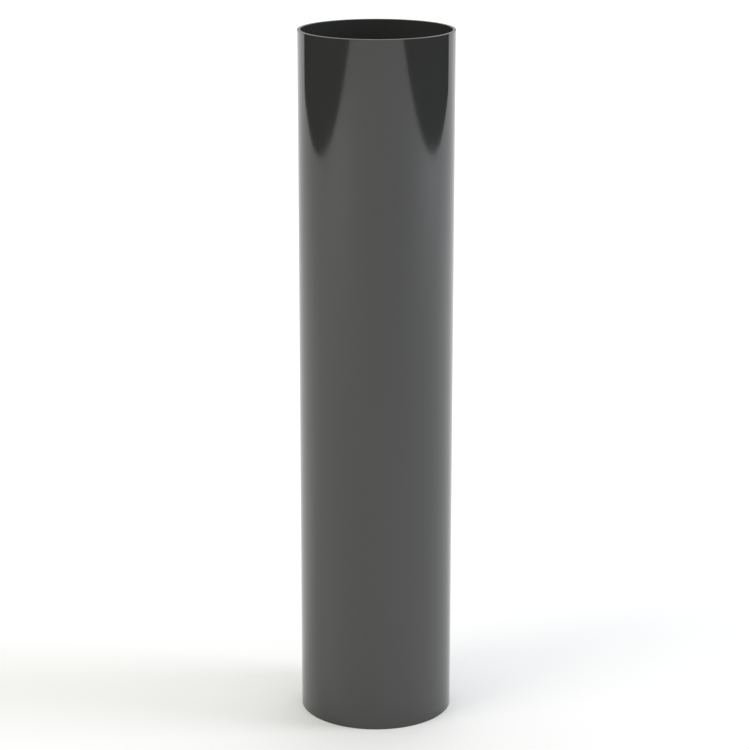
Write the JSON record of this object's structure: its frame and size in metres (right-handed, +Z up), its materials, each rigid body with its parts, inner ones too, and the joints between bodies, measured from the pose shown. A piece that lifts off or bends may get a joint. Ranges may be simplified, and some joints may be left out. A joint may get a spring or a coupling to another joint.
{
  "type": "pvc downpipe",
  "caption": "Straight round plain-ended PVC tube, cut square at both ends, that carries rainwater down from a gutter outlet.",
  "frame": {"origin": "centre of the lower end face, on the pipe's axis, where the pipe stands on the floor", "axes": "+Z up along the pipe's axis, towards the end that takes the gutter outlet; X and Y are alike"},
  "size_m": [0.11, 0.11, 0.5],
  "materials": {
    "pvc": "gloss"
  },
  "bodies": {
    "root": {"downpipe": "pvc"}
  },
  "joints": []
}
